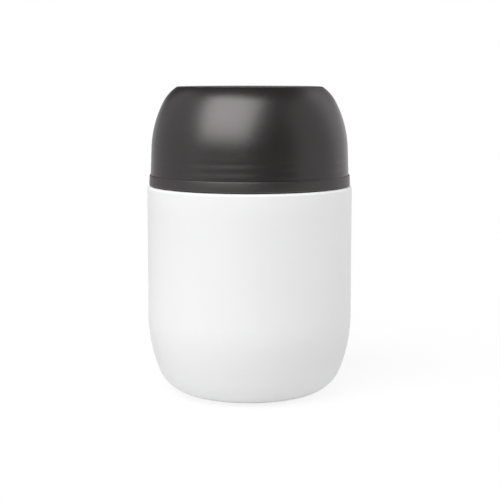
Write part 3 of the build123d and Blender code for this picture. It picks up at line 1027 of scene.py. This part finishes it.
class JAR_OT_stage(bpy.types.Operator):
    """Lay the floor and set the lamps, the room and the camera"""

    bl_idname = "jar.stage"
    bl_label = "Studio"

    def execute(self, context):
        studio = context.scene.jar_studio
        self.lay_floor(studio)
        self.set_room(context.scene, studio)
        for lamp in LAMPS:
            self.hang_lamp(*lamp)
        self.place_camera(context, studio)
        return {"FINISHED"}

    def seen_plainly(self, graph):
        """1 for the rays that show the background: those of the camera and mirrored or clear ones."""
        seen = graph.node("ShaderNodeLightPath", output="Is Camera Ray")
        for ray in ("Is Glossy Ray", "Is Transmission Ray"):
            seen = seen.maths("MAXIMUM", seen, graph.node("ShaderNodeLightPath", output=ray))
        return seen

    def lay_floor(self, studio):
        """A wide sheet of pale paper that keeps the jar's shadow and shows as near white."""
        bpy.ops.object.select_all(action="DESELECT")
        under = (0, 0, foot("base_pad") - 0.02 * MM)
        bpy.ops.mesh.primitive_plane_add(size=2 * studio.floor_side, location=under)
        stretch = (studio.floor_back + studio.floor_side) / (2 * studio.floor_side)
        front = (0, -studio.floor_side, 0)
        bpy.ops.transform.resize(value=(1, stretch, 1), center_override=front)
        bpy.ops.object.transform_apply(location=True, rotation=True, scale=True)
        floor = bpy.context.object
        floor.name = "floor"
        paper = Finish("floor paper")
        fibre = paper.grain(0.6 * MM, 3.0)
        seen = self.seen_plainly(paper)
        away = paper.step(paper.from_axis(), studio.near_start, studio.near_end)
        bounce = paper.mix(away, grey(studio.paper_near), grey(studio.paper))
        pale = paper.mix(seen, bounce, grey(studio.paper_shown))
        paper.surface(Base_Color=pale, Roughness=0.8, Normal=paper.relief(fibre, 0.01 * MM))
        glow = paper.node("ShaderNodeEmission")
        lit = Wire(paper, paper.shader.outputs[0])
        far = paper.step(paper.from_axis(), studio.glow_start, studio.glow_end)
        share_of_glow = seen * (far * (1 - studio.glow) + studio.glow)
        shown = paper.node("ShaderNodeMixShader", {}, {0: share_of_glow, 1: lit, 2: glow})
        paper.feed(paper.tree.nodes["Material Output"].inputs["Surface"], shown)
        floor.data.materials.append(paper.material)

    def set_room(self, scene, studio):
        """A dim room round the lamps, with a low white backdrop behind the jar.

        A place in the world's shader is a direction: Y is away from the camera and Z is up.
        """
        world = bpy.data.worlds.new("studio")
        world.use_nodes = True
        scene.world = world
        room = Graph(world.node_tree)
        low = 1 - room.step(room.along("Z"), 0.05, 0.25)
        backdrop = room.step(room.along("Y"), 0.7, 0.95) * low
        at_camera = room.node("ShaderNodeLightPath", output="Is Camera Ray")
        white = self.seen_plainly(room) * backdrop.maths("MAXIMUM", backdrop, at_camera)
        shown = room.mix(white, grey(studio.surroundings), grey(1.0))
        room.feed(world.node_tree.nodes["Background"].inputs["Color"], shown)
        scene.view_settings.view_transform = "Standard"

    def hang_lamp(self, name, around, up, across, brightness, mirrored):
        """A square softbox of even brightness that faces the jar."""
        direction = Vector((0, -1, 0))
        direction.rotate(Euler((-math.radians(up), 0, 0)))
        direction.rotate(Euler((0, 0, math.radians(around))))
        side = 2 * LAMP_REACH * math.tan(math.radians(across / 2))
        bpy.ops.object.light_add(type="AREA", location=direction * LAMP_REACH)
        lamp = bpy.context.object
        lamp.name = name
        lamp.rotation_euler = direction.to_track_quat("Z", "Y").to_euler()
        lamp.data.size = side
        lamp.data.energy = brightness * math.pi * side**2
        lamp.visible_glossy = mirrored

    def place_camera(self, context, studio):
        """The camera stands in front, about as high as the lid, and looks slightly down."""
        bpy.ops.object.camera_add(
            location=(0, -studio.distance, studio.height),
            rotation=(math.radians(90) - studio.pitch, 0, 0),
        )
        camera = context.object
        camera.data.lens = studio.lens
        camera.data.shift_x = studio.shift_x
        camera.data.shift_y = studio.shift_y
        context.scene.camera = camera


# ---- Add-on ---------------------------------------------------------------------------

OPERATORS = (
    JAR_OT_body_shell,
    JAR_OT_liner,
    JAR_OT_lid_dome,
    JAR_OT_trim_band,
    JAR_OT_foot_pad,
    JAR_OT_brim_seal,
    JAR_OT_steel_parts,
    JAR_OT_stopper_parts,
    JAR_OT_vent_parts,
    JAR_OT_lid_inside,
    JAR_OT_stage,
)
SETTINGS = {"jar_shape": JarShape, "jar_look": JarLook, "jar_studio": JarStudio}


class JAR_PT_sidebar(bpy.types.Panel):
    """The jar's pieces, sizes, finishes and studio."""

    bl_label = "Insulated food jar"
    bl_space_type = "VIEW_3D"
    bl_region_type = "UI"
    bl_category = "Jar"

    def draw(self, context):
        for operator in OPERATORS:
            self.layout.operator(operator.bl_idname)
        for name in SETTINGS:
            group = getattr(context.scene, name)
            box = self.layout.box()
            for setting in type(group).__annotations__:
                box.prop(group, setting)


def register():
    for entry in (*SETTINGS.values(), *OPERATORS, JAR_PT_sidebar):
        bpy.utils.register_class(entry)
    for name, group in SETTINGS.items():
        setattr(bpy.types.Scene, name, PointerProperty(type=group))


def unregister():
    for name in SETTINGS:
        delattr(bpy.types.Scene, name)
    for entry in (JAR_PT_sidebar, *reversed(OPERATORS), *SETTINGS.values()):
        bpy.utils.unregister_class(entry)


def main():
    """Make every piece and the studio."""
    register()
    bpy.ops.jar.body_shell()
    bpy.ops.jar.liner()
    bpy.ops.jar.lid_dome()
    bpy.ops.jar.trim_band()
    bpy.ops.jar.foot_pad()
    bpy.ops.jar.brim_seal()
    bpy.ops.jar.steel_parts()
    bpy.ops.jar.stopper_parts()
    bpy.ops.jar.vent_parts()
    bpy.ops.jar.lid_inside()
    bpy.ops.jar.stage()


if __name__ == "__main__":
    main()
